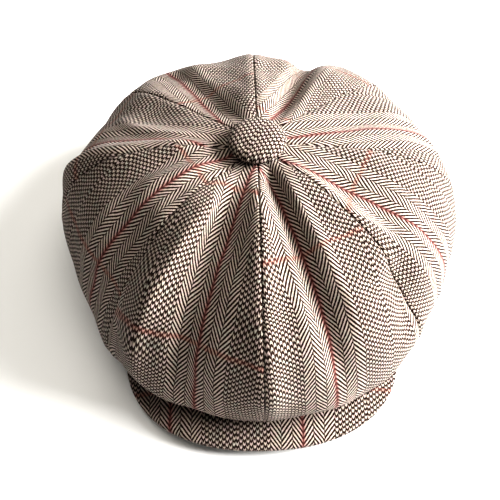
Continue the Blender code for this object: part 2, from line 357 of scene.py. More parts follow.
# Tweed on a piece's cloth map; the weft line's place differs from piece to piece.
def tweedMaterial(name, group, weftLine, weftRepeat):
    material, desk, shader = newMaterial(name, 0.88)
    shader.inputs["Sheen Weight"].default_value = 0.06
    shader.inputs["Sheen Roughness"].default_value = 0.45
    shader.inputs["Specular IOR Level"].default_value = 0.15
    mapNode = desk.node("ShaderNodeUVMap", uv_map="clothMap")
    parts = desk.node("ShaderNodeSeparateXYZ")
    desk.put(parts.inputs[0], mapNode.outputs["UV"])
    weave = desk.node("ShaderNodeGroup", node_tree=group)
    desk.put(weave.inputs["Across"], desk.math("MULTIPLY", parts.outputs["X"], 1000.0))
    desk.put(weave.inputs["Along"], desk.math("MULTIPLY", parts.outputs["Y"], 1000.0))
    weave.inputs["Weft line"].default_value = weftLine
    weave.inputs["Weft repeat"].default_value = weftRepeat
    desk.put(shader.inputs["Base Color"], weave.outputs["Color"])
    roughness = desk.math("MULTIPLY_ADD", weave.outputs["Cream"], -0.10, 0.93)
    desk.put(shader.inputs["Roughness"], roughness)
    bumpInto(desk, shader, weave.outputs["Height"], 0.35 * mm, 0.75)
    return material


# Fine grain for plain finishes: two noises of a place in metres, as a value and a height.
def finishGroup():
    inputs = [("Scale", 900.0), ("X", 0.0), ("Y", 0.0), ("Z", 0.0)]
    outputs = [("Value", "NodeSocketFloat"), ("Height", "NodeSocketFloat")]
    tree, desk, source, target = newGroup("fineGrain", inputs, outputs)
    place = desk.combine(source["X"], source["Y"], source["Z"])
    broad = desk.noise(place, 60.0, 2.0)
    fine = desk.node("ShaderNodeTexNoise")
    desk.put(fine.inputs["Vector"], place)
    desk.put(fine.inputs["Scale"], source["Scale"])
    desk.put(target["Value"], desk.math("MULTIPLY_ADD", broad, 0.6, 0.7))
    desk.put(target["Height"], fine.outputs["Fac"])
    return tree


# Woven tape, satin or web: fine ribs along one or both directions of the cloth map.
def ribbedMaterial(name, colours, roughness, ribs, sheen=0.0, depth=0.15 * mm):
    material, desk, shader = newMaterial(name, roughness)
    shader.inputs["Sheen Weight"].default_value = sheen
    mapNode = desk.node("ShaderNodeUVMap", uv_map="clothMap")
    parts = desk.node("ShaderNodeSeparateXYZ")
    desk.put(parts.inputs[0], mapNode.outputs["UV"])
    slant, pitch = ribs
    run = desk.math("MULTIPLY_ADD", parts.outputs["Y"], slant, parts.outputs["X"])
    wave = desk.math("SINE", desk.math("MULTIPLY", run, fullTurn / pitch))
    cloudy = desk.noise(mapNode.outputs["UV"], 45.0, 3.0)
    fuzz = desk.noise(mapNode.outputs["UV"], 1800.0, 2.0)
    tone = desk.math("MULTIPLY_ADD", cloudy, 0.7, 0.1)
    amount = desk.math("MULTIPLY_ADD", wave, 0.22, tone, clamp=True)
    desk.put(shader.inputs["Base Color"], desk.mix(amount, *colours))
    height = desk.math("MULTIPLY_ADD", wave, 0.35, desk.math("MULTIPLY", fuzz, 0.6))
    bumpInto(desk, shader, height, depth, 0.6)
    return material


# Plain solid finish: colour and roughness drift a little, with a fine grain.
def grainMaterial(name, colours, roughness, metallic, group, scale, depth):
    material, desk, shader = newMaterial(name, roughness, metallic)
    place = desk.node("ShaderNodeTexCoord").outputs["Object"]
    parts = desk.node("ShaderNodeSeparateXYZ")
    desk.put(parts.inputs[0], place)
    grain = desk.node("ShaderNodeGroup", node_tree=group)
    grain.inputs["Scale"].default_value = scale
    for axis in "XYZ":
        desk.put(grain.inputs[axis], parts.outputs[axis])
    desk.put(shader.inputs["Base Color"], desk.mix(grain.outputs["Value"], *colours))
    drift = desk.math("MULTIPLY_ADD", grain.outputs["Height"], 0.2, roughness - 0.1)
    desk.put(shader.inputs["Roughness"], drift)
    bumpInto(desk, shader, grain.outputs["Height"], depth, 0.5)
    return material


crownShape = dict(
    meanRadius=0.1440,
    waves=(-0.0040, 0.0070, 0.0010),
    reach=(0.0, 0.29, 0.54, 0.76, 0.92, 1.0, 1.015, 0.94),
    levels=(0.0, -0.0005, -0.006, -0.018, -0.037, -0.060, -0.081, -0.091),
    tuckFar=0.018,
    tuckNear=0.007,
    tuckDrop=0.006,
    frontClearance=0.005,
    frontReach=(0.0, 0.0, 0.0, 0.0, 0.0, 0.0, 0.010, 0.035),   # the front hangs further out
    frontDrop=9.0 * mm,     # and lower, close over the visor
    sideDrop=5.0 * mm,      # and lower still towards the visor's ends
    cloth=1.2 * mm,
    thinnest=0.6 * mm,      # cloth left under a seam
    seamGap=0.06 * mm,      # on each side of a seam
    gores=8,
    down=190,               # rows and columns of one gore
    across=84,
    start=0.075,            # the place where the gores begin, under the button
    flat=(0.118, 0.250),    # one gore as cut: width and length
)

# Folds of the soft crown. angles: degrees from the front (left is negative) at the fold's top,
# middle and lower end; span: places from the button (0) to the band (1) where it starts, is full,
# begins to fade and ends; height: mm, below 0 for a valley; width: mm on its left and right side.
crownFolds = dict(
    backSlump=dict(angles=(180, 180, 180), span=(0.10, 0.30, 0.70, 0.86), height=-16.0, width=(75, 75)),
    rightBackSlack=dict(angles=(123, 123, 123), span=(0.10, 0.28, 0.70, 0.90), height=-7.0, width=(42, 42)),
    leftSlack=dict(angles=(-64, -64, -64), span=(0.32, 0.50, 0.80, 0.92), height=-6.5, width=(46, 46)),
    rightSlack=dict(angles=(60, 60, 60), span=(0.40, 0.52, 0.80, 0.92), height=-3.0, width=(34, 34)),
    frontRidge=dict(angles=(1, 1, 2), span=(0.10, 0.24, 0.46, 0.61), height=7.0, width=(13, 9)),
    frontSideRidge=dict(angles=(11, 12, 14), span=(0.12, 0.20, 0.32, 0.46), height=1.2, width=(5, 5)),
    frontRightValley=dict(angles=(17, 17, 21), span=(0.10, 0.16, 0.34, 0.58), height=-6.5, width=(7, 6)),
    frontRightRidge=dict(angles=(28, 26, 27), span=(0.11, 0.18, 0.34, 0.50), height=4.5, width=(7, 15)),
    frontLeftValley=dict(angles=(-23, -23, -18), span=(0.14, 0.24, 0.48, 0.64), height=-9.5, width=(7, 17)),
    frontLeftRidge=dict(angles=(-29, -33, -30), span=(0.13, 0.22, 0.46, 0.62), height=7.0, width=(14, 6)),
    rightPocket=dict(angles=(46, 44, 42), span=(0.32, 0.38, 0.44, 0.52), height=-7.0, width=(12, 12)),
    rightHollow=dict(angles=(60, 58, 57), span=(0.16, 0.24, 0.28, 0.36), height=-6.0, width=(12, 18)),
    rightRidge=dict(angles=(43, 49, 53), span=(0.12, 0.18, 0.26, 0.40), height=3.0, width=(16, 7)),
    backRightValley=dict(angles=(155, 161, 162), span=(0.10, 0.20, 0.36, 0.54), height=-11.0, width=(10, 8)),
    backLeftValley=dict(angles=(-152, -151, -150), span=(0.10, 0.20, 0.34, 0.46), height=-7.5, width=(9, 17)),
    backRidge=dict(angles=(180, 181, 182), span=(0.10, 0.20, 0.40, 0.52), height=4.0, width=(17, 16)),
    leftBackRidge=dict(angles=(-92, -96, -98), span=(0.13, 0.20, 0.40, 0.52), height=6.0, width=(8, 14)),
    leftBackWave=dict(angles=(-104, -110, -122), span=(0.14, 0.20, 0.28, 0.38), height=2.5, width=(7, 7)),
    leftBackSlack=dict(angles=(-122, -122, -122), span=(0.10, 0.30, 0.70, 0.90), height=-8.0, width=(38, 38)),
    leftPatch=dict(angles=(-62, -66, -70), span=(0.12, 0.18, 0.23, 0.30), height=3.0, width=(9, 9)),
    buttonCrease=dict(angles=(-65, -60, -60), span=(0.078, 0.105, 0.125, 0.170), height=-3.2, width=(26, 26)),
    leftLedge=dict(angles=(-52, -49, -49), span=(0.14, 0.21, 0.24, 0.33), height=4.0, width=(22, 16)),
    leftPocket=dict(angles=(-50, -50, -48), span=(0.25, 0.33, 0.42, 0.56), height=-6.5, width=(24, 13)),
)


# Oval (bandX - inset) sin t, -(bandY - inset) cos t about the band's middle.
def bandPoint(angle, inset, height):
    x = (bandX - inset) * np.sin(angle)
    y = bandMiddleY - (bandY - inset) * np.cos(angle)
    return np.stack([x, y, height + 0.0 * angle], axis=-1)


# 1 at the front, smooth((cos t - 0.5) / 0.5), 0 past 60 degrees.
def frontWeight(angle):
    return smooth((np.cos(angle) - 0.5) / 0.5)


bandLook = dict(height=28 * mm, frontLift=12 * mm, thickness=1.2 * mm, steps=240)


def bandBottom(angle):
    return bandLook["frontLift"] * frontWeight(angle)


def bandTop(angle):
    return bandLook["height"] + 0.5 * bandLook["frontLift"] * frontWeight(angle)


# mean + a cos t + b cos 2t + c cos 3t.
def puffRadius(angle):
    radius = crownShape["meanRadius"] + 0.0 * angle
    for order, size in enumerate(crownShape["waves"], start=1):
        radius = radius + size * np.cos(order * angle)
    return radius


# The smooth crown: B-splines of reach and height from the button (0) to the band seam (1).
def crownBase(angle, place):
    shape = crownShape
    radius = puffRadius(angle)
    front = frontWeight(angle)
    seam = bandPoint(angle, 0.5 * bandLook["thickness"], 0.0)
    seamRadius = np.hypot(seam[..., 0], seam[..., 1] - crownY)
    seamHeight = bandTop(angle) + 0.4 * mm
    radii = [radius * (part + more * front) for part, more in zip(shape["reach"], shape["frontReach"])]
    radii += [seamRadius + shape["tuckFar"], seamRadius + shape["tuckNear"], seamRadius]
    levels = [crownTop + level + 0.0 * angle for level in shape["levels"]]
    away = np.abs((angle + math.pi) % fullTurn - math.pi)
    drop = shape["frontDrop"] + shape["sideDrop"] * smooth(away / math.radians(48.0))
    drop = drop * smooth((np.cos(angle) - 0.2) / 0.5)
    levels[-2] = levels[-2] - 0.4 * drop
    levels[-1] = levels[-1] + shape["frontClearance"] * front - drop
    under = seamHeight - shape["tuckDrop"] + 0.4 * shape["frontClearance"] * front - 0.6 * drop
    levels += [under, seamHeight, seamHeight]
    out = spline(radii, place)
    up = spline(levels, place)
    return np.stack([out * np.sin(angle), crownY - out * np.cos(angle), up], axis=-1)


# Sum of folds: height * exp(-(distance / width)^2) * rise and fall along the fold.
def foldLift(angle, place, outward):
    lift = 0.0 * angle
    for fold in crownFolds.values():
        top, middle, low = (math.radians(value) for value in fold["angles"])
        start, full, fade, end = fold["span"]
        along = np.clip((place - start) / (end - start), 0.0, 1.0)
        bend = 2.0 * (top + low - 2.0 * middle)
        centre = top + (low - top) * along + bend * along * (along - 1.0)
        away = (angle - centre + math.pi) % fullTurn - math.pi
        distance = away * outward
        width = np.where(away < 0.0, fold["width"][0], fold["width"][1]) * mm
        widening = 0.45 + 0.55 * np.clip(outward / 0.11, 0.0, 1.2)
        window = smooth((place - start) / (full - start)) * smooth((end - place) / (end - fade))
        lift = lift + fold["height"] * mm * np.exp(-(distance / (width * widening)) ** 2) * window
    return lift


# Small soft waves of the cloth: a few crossed sines, in metres.
def rumple(angle, place):
    waves = ((5, 19.0, 0.4), (9, -23.0, 1.9), (13, 31.0, 4.1), (17, 11.0, 2.7), (23, -37.0, 0.9))
    size = 0.42 * mm
    total = 0.0 * angle
    for around, down, shift in waves:
        total = total + np.sin(around * angle + down * place + shift) * np.sin(down * 0.7 * place + shift)
    window = smooth((place - 0.10) / 0.15) * (1.0 - smooth((place - 0.66) / 0.12))
    return size * total * window


# The crown with its folds, moved along the smooth crown's outward normal; behind the sides
# the moves are level, towards the middle, where the cloth turns under: the lip keeps its depth.
def crownSurface(angle, place):
    step = 1e-4
    base = crownBase(angle, place)
    down = crownBase(angle, np.minimum(place + step, 0.9995)) - crownBase(angle, place - step)
    around = crownBase(angle + step, place) - crownBase(angle - step, place)
    normal = unit(np.cross(down, around))
    behind = smooth((0.3 - np.cos(angle)) / 0.6)
    level = np.stack([np.sin(angle), -np.cos(angle), 0.0 * angle], axis=-1)
    turned = (behind * smooth((0.35 - normal[..., 2]) / 0.5))[..., None]
    normal = unit(normal * (1.0 - turned) + level * turned)
    outward = np.hypot(base[..., 0], base[..., 1] - crownY)
    return base + normal * (foldLift(angle, place, outward) + rumple(angle, place))[..., None]


# Where each gore's cloth was cut: sideways shift and weft line in mm, tilt in degrees.
goreCuts = (
    dict(shift=-7.0, tilt=-2.0, weft=84.0, repeat=150.0, flip=-1),
    dict(shift=-8.0, tilt=-1.0, weft=67.0, repeat=110.0, flip=-1),
    dict(shift=-2.0, tilt=-5.0, weft=150.0, repeat=200.0, flip=1),
    dict(shift=0.0, tilt=0.0, weft=30.0, repeat=90.0, flip=1),
    dict(shift=12.0, tilt=2.0, weft=74.0, repeat=90.0, flip=-1),
    dict(shift=13.0, tilt=2.0, weft=120.0, repeat=150.0, flip=1),
    dict(shift=-3.0, tilt=9.0, weft=44.0, repeat=90.0, flip=1),
    dict(shift=4.5, tilt=3.0, weft=38.0, repeat=96.0, flip=1),
)


# Flattens a gore: across = arc length from its middle line, along = middle line length
# minus the integral of (rate of widening) d(across).
def clothMapOf(points, startLength, cut):
    stepsAcross = np.linalg.norm(np.diff(points, axis=1), axis=-1)
    across = np.concatenate([np.zeros((len(points), 1)), np.cumsum(stepsAcross, axis=1)], axis=1)
    centre = points.shape[1] // 2
    across = across - across[:, centre:centre + 1]
    stepsDown = np.linalg.norm(np.diff(points, axis=0), axis=-1)
    length = startLength + np.concatenate([np.zeros((1, points.shape[1])), np.cumsum(stepsDown, axis=0)])
    middleLength = length[:, centre]
    widening = np.gradient(across, axis=0) / np.gradient(middleLength)[:, None]
    pieces = 0.5 * (widening[:, 1:] + widening[:, :-1]) * np.diff(across, axis=1)
    lag = np.concatenate([np.zeros((len(points), 1)), np.cumsum(pieces, axis=1)], axis=1)
    lag = lag - lag[:, centre:centre + 1]
    along = middleLength[:, None] - lag
    turn = math.radians(cut["tilt"])
    mapX = across * math.cos(turn) - along * math.sin(turn) - cut["shift"] * mm
    mapY = across * math.sin(turn) + along * math.cos(turn)
    return np.stack([mapX, cut["flip"] * mapY], axis=-1)


# Surface area of a grid: half the length of each quad's crossed diagonals.
def goreArea(points):
    one = points[1:, 1:] - points[:-1, :-1]
    other = points[1:, :-1] - points[:-1, 1:]
    return float(np.linalg.norm(np.cross(one, other), axis=-1).sum() / 2.0)


# Angles and places of one gore's grid; columns crowd towards its two seams.
def goreGrid(index, down, across, margin):
    shape = crownShape
    even = np.linspace(0.0, 1.0, across + 1)
    share = 0.45 * even + 0.55 * (0.5 - 0.5 * np.cos(math.pi * even))
    place = np.linspace(shape["start"], 1.0, down + 1)[:, None] + 0.0 * share[None, :]
    width = fullTurn / shape["gores"]
    line = crownBase(np.full((down + 1, 1), (index + 0.5) * width), place[:, :1])
    radius = np.hypot(line[..., 0], line[..., 1] - crownY)
    trim = margin / radius
    angle = index * width + trim + share[None, :] * (width - 2.0 * trim)
    return angle, np.clip(place, 0.0, 0.9995)


seamShape = dict(
    dip=0.85 * mm,          # depth at the seam
    reach=0.50 * mm,
    swell=0.30 * mm,        # height over the turned-in allowance
    swellAt=4.0 * mm,
    swellReach=2.6 * mm,
)


# Depth of the sewn edge below the cloth: dip * exp(-(distance / reach)^2), less the swell's
# own bell at swellAt.
def seamDip(points):
    look = seamShape
    stepsAcross = np.linalg.norm(np.diff(points, axis=1), axis=-1)
    across = np.concatenate([np.zeros((len(points), 1)), np.cumsum(stepsAcross, axis=1)], axis=1)
    near = np.minimum(across, across[:, -1:] - across)
    room = np.clip(across[:, -1:] / 0.03, 0.15, 1.0)
    dip = look["dip"] * np.exp(-(near / look["reach"]) ** 2)
    swell = look["swell"] * np.exp(-((near - look["swellAt"]) / look["swellReach"]) ** 2) * room
    return dip - swell


def buildCrown(group):
    shape = crownShape
    for index, cut in enumerate(goreCuts):
        angle, place = goreGrid(index, shape["down"], shape["across"], shape["seamGap"])
        surface = crownSurface(angle, place)
        normal = gridNormals(surface)
        startLength = float(np.hypot(surface[0, :, 0], surface[0, :, 1] - crownY).mean())
        clothMap = clothMapOf(surface, startLength, cut)
        dip = seamDip(surface)
        outer = surface - normal * dip[..., None]
        inner = surface - normal * np.maximum(shape["cloth"], dip + shape["thinnest"])[..., None]
        material = tweedMaterial(f"tweedGore{index + 1}", group, cut["flip"] * cut["weft"], cut["repeat"])
        piece = makeSheet(f"crownGore{index + 1}", outer, inner, material, clothMap)
        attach(piece, "crown")
        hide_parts(f"crown_panel_{index + 1}")
    print("crown: 8 gores")


# Eight satin gores that follow the crown's folds from inside.
def buildLining(material):
    look = dict(
        down=120,
        across=30,
        below=2.35 * mm,        # under the crown's outer face
        thickness=0.6 * mm,
        seamGap=0.15 * mm,
        slack=0.35 * mm,        # small gathers of the loose satin
        start=12.0 * mm,        # cloth length already used under the button
        flat=(0.116, 0.248),    # one gore as cut: width and length
    )
    for index in range(crownShape["gores"]):
        angle, place = goreGrid(index, look["down"], look["across"], look["seamGap"])
        surface = crownSurface(angle, place)
        normal = gridNormals(surface)
        clothMap = clothMapOf(surface, look["start"], dict(tilt=0.0, shift=0.0, flip=1))
        edge = np.sin(math.pi * (place - crownShape["start"]) / (1.0 - crownShape["start"]))
        slack = look["slack"] * (1.0 + np.sin(61.0 * angle + 14.0 * place)) * edge
        outer = surface - normal * (look["below"] + slack)[..., None]
        inner = surface - normal * (look["below"] + slack + look["thickness"])[..., None]
        piece = makeSheet(f"liningGore{index + 1}", outer, inner, material, clothMap)
        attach(piece, "crown")
        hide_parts(f"lining_panel_{index + 1}")
    print("lining: 8 gores")


bandLayers = dict(
    gap=0.4 * mm,
    stiffener=0.8 * mm,
    sweatband=1.0 * mm,
    trim=1.0 * mm,          # the sweatband stops this far inside the band's edges
    rows=18,
    gather=0.55 * mm,       # ripple over the elastic at the back
    gathers=66,
    elastic=36.0,           # degrees on each side of the back
    stitchPitch=3.4 * mm,
    stitchLength=2.3 * mm,
    stitchHalf=0.26 * mm,
    stitchUp=3.0 * mm,      # the stitches' height over the sweatband's lower edge
    clothWidth=0.034,       # the strips as cut
    tapeWidth=0.032,
)


# A strip round the opening, sewn closed at the back; its edges are rounded over.
def bandStrip(name, inset, thickness, trim, material):
    look = bandLayers
    angle = np.linspace(-math.pi + 0.0006, math.pi - 0.0006, bandLook["steps"] + 1)[None, :]
    share = np.linspace(0.0, 1.0, look["rows"] + 1)[:, None]
    share = 0.4 * share + 0.6 * (0.5 - 0.5 * np.cos(math.pi * share))
    low = bandBottom(angle) + trim
    high = bandTop(angle) - trim
    height = high + (low - high) * share
    fromBack = math.pi - np.abs(angle)
    gathered = 1.0 - smooth((fromBack - math.radians(look["elastic"] - 4.0)) / math.radians(8.0))
    waves = 0.5 + 0.5 * np.sin(look["gathers"] * angle + 0.8 * np.sin(9.0 * angle))
    ripple = look["gather"] * gathered * waves
    ripple = ripple * (0.35 + 0.65 * np.sin(math.pi * share))
    fromEdge = np.minimum(share, 1.0 - share) * (high - low)
    curl = 1.0 - np.clip(fromEdge / (0.6 * thickness), 0.0, 1.0)
    over = 0.5 * thickness * (1.0 - np.sqrt(1.0 - curl ** 2))
    outer = bandPoint(angle, inset + over - ripple, height)
    inner = bandPoint(angle, inset + thickness - over - ripple, height)
    girth = np.concatenate([[0.0], np.cumsum(np.linalg.norm(np.diff(outer[0], axis=0), axis=-1))])
    clothMap = np.stack([girth[None, :] - girth.mean() + 0.0 * height, height], axis=-1)
    piece = makeSheet(name, outer, inner, material, clothMap)
    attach(piece, "crown")
    return piece, goreArea(outer), float(girth[-1])


# Short rounded stitches, one at each middle: rings of 6 points, closed at both ends.
def capsules(middles, ahead, outward, length, half):
    side = unit(np.cross(outward, ahead))
    turns = np.arange(6) * fullTurn / 6.0
    stations = np.array([-0.5, -0.42, -0.2, 0.2, 0.42, 0.5]) * length
    girths = np.array([0.35, 0.85, 1.0, 1.0, 0.85, 0.35]) * half
    ring = (np.cos(turns)[:, None, None] * side[None] + np.sin(turns)[:, None, None] * outward[None])
    points = (middles[None, None] + stations[:, None, None, None] * ahead[None, None]
              + girths[:, None, None, None] * ring[None])
    points = np.transpose(points, (2, 0, 1, 3)).reshape(-1, 3)
    one = gridFaces(6, 6, closed=True, flip=True)
    ends = np.array([(0, 1, 2, 3), (0, 3, 4, 5), (33, 32, 31, 30), (35, 34, 33, 30)])
    one = np.concatenate([one, ends])
    quads = (one[None] + (np.arange(len(middles)) * 36)[:, None, None]).reshape(-1, 4)
    return points, quads


def buildBand(tweedFinish, twillFinish, threadFinish):
    look = bandLayers
    strip, area, girth = bandStrip("headbandCloth", 0.0, bandLook["thickness"], 0.0, tweedFinish)
    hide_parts("headband")
    inset = bandLook["thickness"] + look["gap"] + look["stiffener"] + look["gap"]
    trim = look["trim"]
    strip, area, girth = bandStrip("sweatbandCloth", inset, look["sweatband"], trim, twillFinish)
    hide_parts("sweatband")
    front = math.pi - math.radians(look["elastic"])
    angle = np.linspace(-front, front, 2000)
    face = inset + look["sweatband"]
    surface = bandPoint(angle, face, bandBottom(angle) + trim + look["stitchUp"])
    girths = np.concatenate([[0.0], np.cumsum(np.linalg.norm(np.diff(surface, axis=0), axis=-1))])
    at = np.arange(look["stitchPitch"], girths[-1] - look["stitchPitch"], look["stitchPitch"])
    angle = np.interp(at, girths, angle)
    ahead = unit(bandPoint(angle + 0.002, inset, bandBottom(angle + 0.002))
                 - bandPoint(angle - 0.002, inset, bandBottom(angle - 0.002)))
    middles = bandPoint(angle, face, bandBottom(angle) + trim + look["stitchUp"])
    inward = unit(np.stack([-middles[:, 0], bandMiddleY - middles[:, 1], 0.0 * angle], axis=-1))
    points, quads = capsules(middles, ahead, inward, look["stitchLength"], look["stitchHalf"])
    stitches = makeMesh("sweatbandStitches", points, quads, threadFinish)
    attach(stitches, "crown")
    print("band: cloth, sweatband,", len(middles), "stitches")


visorShape = dict(
    halfWidth=0.091,        # half axes of the front edge's oval
    reach=0.0765,
    squareness=0.88,        # below 1 fills out the oval's corners
    centreY=-0.085,         # the oval's centre, from the crown's
    endAngle=63.0,          # degrees round the band, and round the edge, to the visor's ends
    edgeAngle=116.0,
    seamGap=1.3 * mm,
    low=2.8 * mm,           # height of the ends
    arch=6.5 * mm,          # the middle of the edge is this much higher
    bow=3.0 * mm,
    board=1.6 * mm,
    gap=0.4 * mm,
    cloth=1.2 * mm,
    tips=0.97,
    across=220,
    down=72,
    rim=2.6 * mm,           # the cloth rounds over the board's edge in this length
    rimStart=0.2 * mm,      # half the gap between the two covers at the edge
    waves=0.16 * mm,        # soft unevenness of the stretched cloth
    pull=0.35 * mm,         # the cloth is drawn down just inside the edge
    clothTurn=0.5,          # degrees between the warp and the cap's middle line
    clothShift=25.0 * mm,   # moves the stripes sideways
    bendFrom=-0.094,        # the visor bends between these two Y
    bendTo=-0.124,
)


# sign(v) |v|^squareness: fills out the corners of an oval.
def squarer(value):
    return np.sign(value) * np.abs(value) ** visorShape["squareness"]


# The visor's middle layer: straight lines from the band's oval to the edge's oval, with
# height low + rear + arch cos^2 + bow sin(pi depth).
def visorMiddle(share, depth):
    look = visorShape
    rearAngle = math.radians(look["endAngle"]) * share
    edgeAngle = math.radians(look["edgeAngle"]) * share
    rear = bandPoint(rearAngle, -look["seamGap"], 0.0)
    arch = np.cos(0.5 * math.pi * share)
    edgeX = look["halfWidth"] * squarer(np.sin(edgeAngle))
    edgeY = look["centreY"] + crownY - look["reach"] * squarer(np.cos(edgeAngle))
    x = rear[..., 0] * (1.0 - depth) + edgeX * depth
    y = rear[..., 1] * (1.0 - depth) + edgeY * depth
    bow = look["bow"] * np.sin(math.pi * depth) * arch
    z = look["low"] + bandBottom(rearAngle) * (1.0 - depth) + look["arch"] * arch ** 2 * depth + bow
    return np.stack([x, y, z], axis=-1)


# Shares across and depths down; the rows crowd towards the front edge.
def visorGrid():
    look = visorShape
    share = np.linspace(-1.0, 1.0, look["across"] + 1)[None, :] * look["tips"]
    even = np.linspace(0.0, 1.0, look["down"] + 1)[:, None]
    depth = 1.0 - (1.0 - even) ** 1.7
    return share + 0.0 * depth, depth + 0.0 * share


# One cover, above (side 1) or below (side -1) the board; its rim rounds over the edge.
def visorSkin(name, side, material, node):
    look = visorShape
    share, depth = visorGrid()
    middle = visorMiddle(share, depth)
    length = np.linalg.norm(visorMiddle(share, 1.0 + 0.0 * depth) - visorMiddle(share, 0.0 * depth), axis=-1)
    room = np.minimum(look["rim"], 0.5 * length)
    into = np.clip(1.0 - (1.0 - depth) * length / room, 0.0, 1.0)
    curl = np.sqrt(np.clip(1.0 - into ** 2, 0.0, 1.0))
    full = 0.5 * look["board"] + look["gap"] + look["cloth"]
    low = look["rimStart"]
    innerCurl = np.sqrt(np.clip(1.0 - (into * 1.35) ** 2, 0.0, 1.0))
    outerRise = low + (full - low) * curl
    innerRise = low + (full - look["cloth"] - low) * innerCurl
    wave = np.sin(23.0 * share + 1.3) * np.sin(5.0 * depth + 0.7) + 0.7 * np.sin(41.0 * share + 3.0 * depth)
    soft = look["waves"] * wave * np.sin(math.pi * np.clip(depth, 0.0, 1.0)) ** 2
    pull = look["pull"] * np.exp(-((1.0 - depth) * length / (5.0 * mm) - 1.3) ** 2) * side
    outward = unit(visorMiddle(share, 1.0 + 0.0 * depth) - visorMiddle(share, 0.97 + 0.0 * depth))
    lift = side * (outerRise + soft) - pull
    outer = middle + outward * (0.5 * mm * into * curl)[..., None]
    outer[..., 2] = outer[..., 2] + lift
    inner = middle.copy()
    inner[..., 2] = inner[..., 2] + side * np.minimum(innerRise, np.abs(lift) - 0.15 * mm)
    turn = math.radians(look["clothTurn"])
    # Round the rim the cloth map runs on outwards by the extra arc length.
    rows = np.diff(outer, axis=0)
    extra = np.linalg.norm(rows, axis=-1) - np.linalg.norm(rows[..., :2], axis=-1)
    extra = np.concatenate([np.zeros((1, extra.shape[1])), np.cumsum(extra * (into[1:] > 0.0), axis=0)])
    flatX = outer[..., 0] + outward[..., 0] * extra
    flatY = outer[..., 1] - crownY + outward[..., 1] * extra
    mapX = flatX * math.cos(turn) - flatY * math.sin(turn) - look["clothShift"]
    mapY = flatX * math.sin(turn) + flatY * math.cos(turn)
    clothMap = np.stack([mapX, -mapY], axis=-1)
    if side > 0:
        piece = makeSheet(name, outer, inner, material, clothMap)
    else:
        piece = makeSheet(name, inner, outer, material, clothMap)
    bendWithVisor(piece)
    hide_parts(node)


# Bakes the piece's placement into its points; the piece stays as built and does not bend.
def bendWithVisor(piece):
    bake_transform(piece)


def buildVisor(tweedFinish, boardFinish):
    look = visorShape
    visorSkin("visorUpper", 1, tweedFinish, "visor_top_cover")
    visorSkin("visorUnder", -1, tweedFinish, "visor_under_cover")
    share = np.linspace(-1.0, 1.0, 121)[None, :] * look["tips"]
    depth = np.linspace(0.02, 0.93, 25)[:, None]
    middle = visorMiddle(share + 0.0 * depth, depth + 0.0 * share)
    rise = np.array([0.0, 0.0, 0.5 * look["board"]])
    board = makeSheet("visorBoard", middle + rise, middle - rise, boardFinish, middle[..., :2])
    bendWithVisor(board)
    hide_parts("visor_board")
    print("visor: two covers and the board")


buttonShape = dict(
    radius=(0.0, 0.30, 0.60, 0.85, 0.98, 1.015, 0.97, 0.88, 0.78),
    height=(1.0, 1.0, 0.93, 0.74, 0.40, 0.08, -0.06, -0.05, -0.04),
    puckers=22,
    pucker=0.30 * mm,
    cloth=1.2 * mm,
    steps=110,
    turn=28.0,              # degrees between the button's cloth and the crown's front
    clothShift=41.6 * mm,   # picks birdseye cloth for the button
)


# A domed button: a square grid rounded into a disc, then laid along the dome's profile so
# that distance from its middle is length along the cloth.
def buildButton(material):
    look = buttonShape
    radius = (buttonHigh[0] - buttonLow[0]) / 2.0
    base = crownTop + 1.2 * mm
    rise = buttonHigh[2] - base
    line = np.linspace(0.0, 1.0, 600)
    lineOut = radius * spline(look["radius"], line)
    lineUp = rise * spline(look["height"], line)
    length = np.concatenate([[0.0], np.cumsum(np.hypot(np.diff(lineOut), np.diff(lineUp)))])
    even = np.linspace(-1.0, 1.0, look["steps"] + 1)
    u = np.sin(0.5 * math.pi * even)[None, :] * 0.5 + 0.5 * even[None, :]
    v = u.T
    discX = u * np.sqrt(1.0 - 0.5 * v ** 2)
    discY = v * np.sqrt(1.0 - 0.5 * u ** 2)
    part = np.clip(np.hypot(discX, discY), 0.0, 1.0)
    place = np.interp(part * length[-1], length, line)
    angle = np.arctan2(discY, discX)
    out = radius * spline(look["radius"], place)
    up = base + rise * spline(look["height"], place)
    rim = smooth((part - 0.35) / 0.4)
    fold = np.sin(look["puckers"] * angle + 1.2 * np.sin(3.0 * angle)) + 0.5 * np.sin(13.0 * angle + 2.0)
    out = out + look["pucker"] * rim * fold
    slack = np.exp(-(((angle + 2.35 + math.pi) % fullTurn - math.pi) / 0.5) ** 2)
    up = up - 0.7 * mm * slack * np.exp(-((part - 0.45) / 0.12) ** 2)
    flatX, flatY = np.cos(angle), np.sin(angle)
    outer = np.stack([out * flatX, crownY + out * flatY, up], axis=-1)
    normal = gridNormals(outer)
    normal = normal * np.sign(normal[look["steps"] // 2, look["steps"] // 2, 2])
    inner = outer - normal * look["cloth"] * (1.0 - 0.55 * smooth((part - 0.6) / 0.3))[..., None]
    turned = angle + math.radians(look["turn"])
    reach = part * length[-1]
    clothMap = np.stack([reach * np.cos(turned) + look["clothShift"], reach * np.sin(turned)], axis=-1)
    piece = makeSheet("buttonCloth", outer[::-1], inner[::-1], material, clothMap[::-1])
    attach(piece, "crown")
    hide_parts("button_cover")
    print("button")


